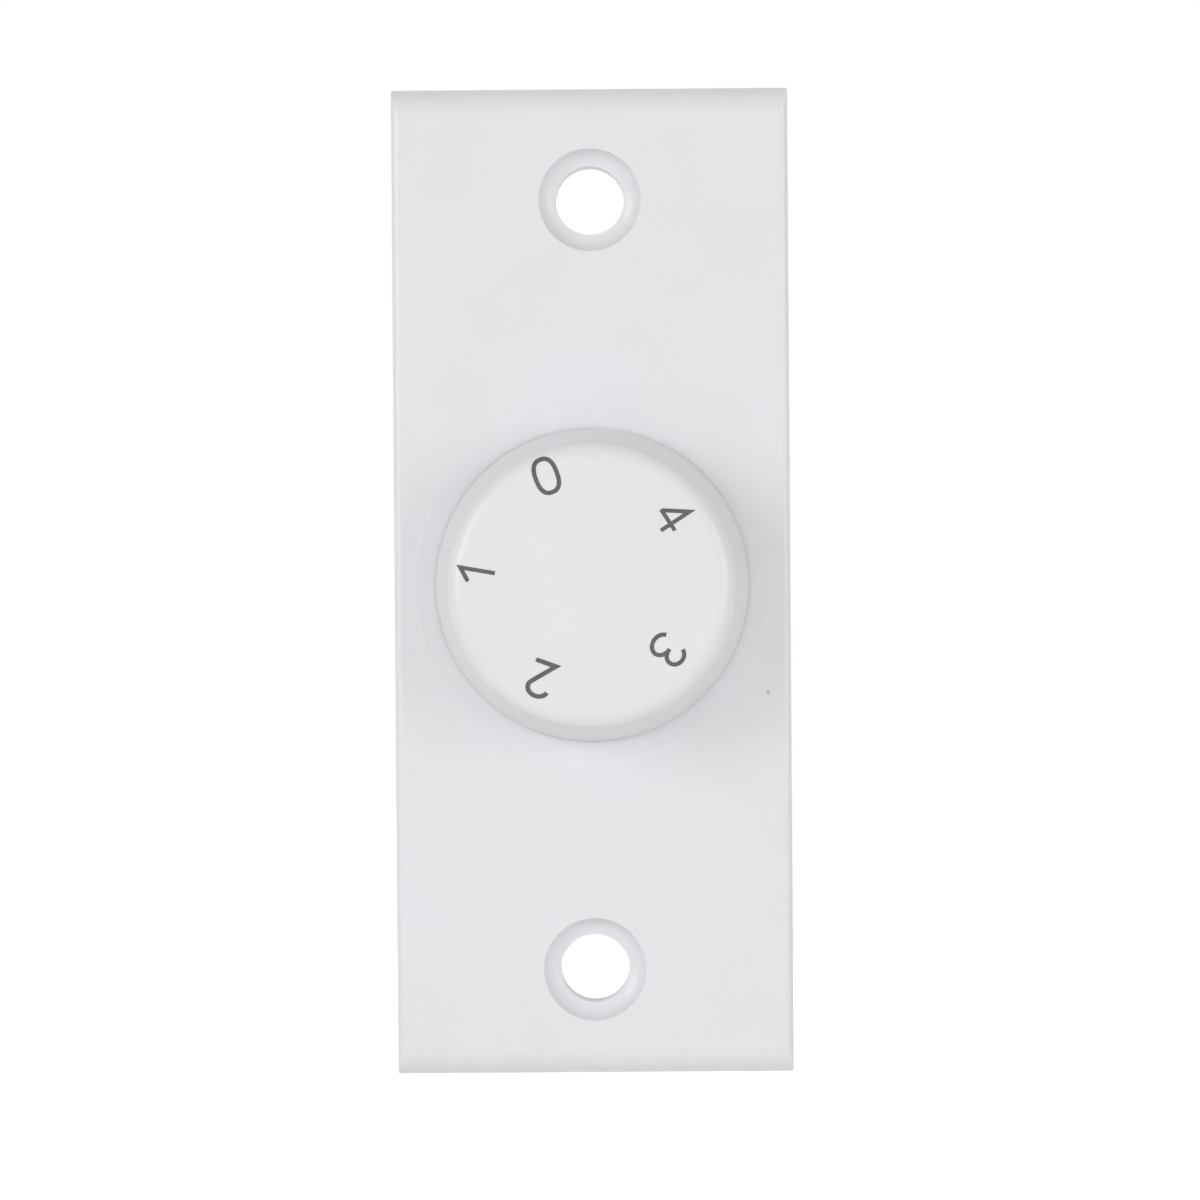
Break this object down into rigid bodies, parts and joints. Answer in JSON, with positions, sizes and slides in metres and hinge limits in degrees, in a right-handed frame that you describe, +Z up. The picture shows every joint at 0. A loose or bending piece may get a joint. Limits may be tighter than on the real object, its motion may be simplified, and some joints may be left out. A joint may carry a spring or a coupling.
{
  "type": "fan speed control switch",
  "caption": "Narrow wall plate with a round numbered knob on a rotary step switch, and a rear housing with capacitors and screw terminals, for setting the speed of a ceiling fan.",
  "frame": {"origin": "midway between the two fixing holes, in the plane of the wall that the plate's rim rests on", "axes": "+Z up along the plate's length, +X right as seen from the front, +Y into the wall; the front faces -Y"},
  "size_m": [0.0436, 0.0497, 0.1079],
  "materials": {
    "plate_plastic": "satin gloss, lightly worn",
    "knob_plastic": "satin gloss",
    "housing_plastic": "fine matt",
    "case_plastic": "matt moulded resin",
    "rotor_plastic": "smooth nylon",
    "block_plastic": "smooth moulding",
    "board_laminate": "paper laminate",
    "capacitor_case": "satin moulding with tinned leads",
    "resistor_coat": "baked coating with tinned leads",
    "plated_steel": "zinc plated",
    "spring_steel": "tempered strip",
    "contact_brass": "bright rolled strip"
  },
  "bodies": {
    "switch_body": {"wall_plate": "plate_plastic", "rear_housing": "housing_plastic", "housing_screws": "plated_steel", "bush_plate": "plated_steel", "fixing_nut": "plated_steel", "lock_washer": "plated_steel", "switch_case": "case_plastic", "switch_rivets": "plated_steel", "detent_spring": "spring_steel", "common_contact": "contact_brass", "speed_contact_1": "contact_brass", "speed_contact_2": "contact_brass", "speed_contact_3": "contact_brass", "speed_contact_4": "contact_brass", "circuit_board": "board_laminate", "speed_capacitor_1": "capacitor_case", "speed_capacitor_2": "capacitor_case", "bleed_resistor_1": "resistor_coat", "bleed_resistor_2": "resistor_coat", "terminal_block": "block_plastic", "terminal_clamp_1": "contact_brass", "terminal_clamp_2": "contact_brass", "terminal_screws": "plated_steel"},
    "rotary": {"control_knob": "knob_plastic", "knob_spring": "spring_steel", "switch_spindle": "plated_steel", "spindle_clip": "plated_steel", "switch_rotor": "rotor_plastic", "wiper_contact": "contact_brass"}
  },
  "joints": [
    {"name": "knob_turn", "type": "hinge", "parent": "switch_body", "child": "rotary", "pos_m": [0, 0, 0], "axis": [0, 1, 0], "continuous": true, "deforming": ["detent_spring"]}
  ]
}
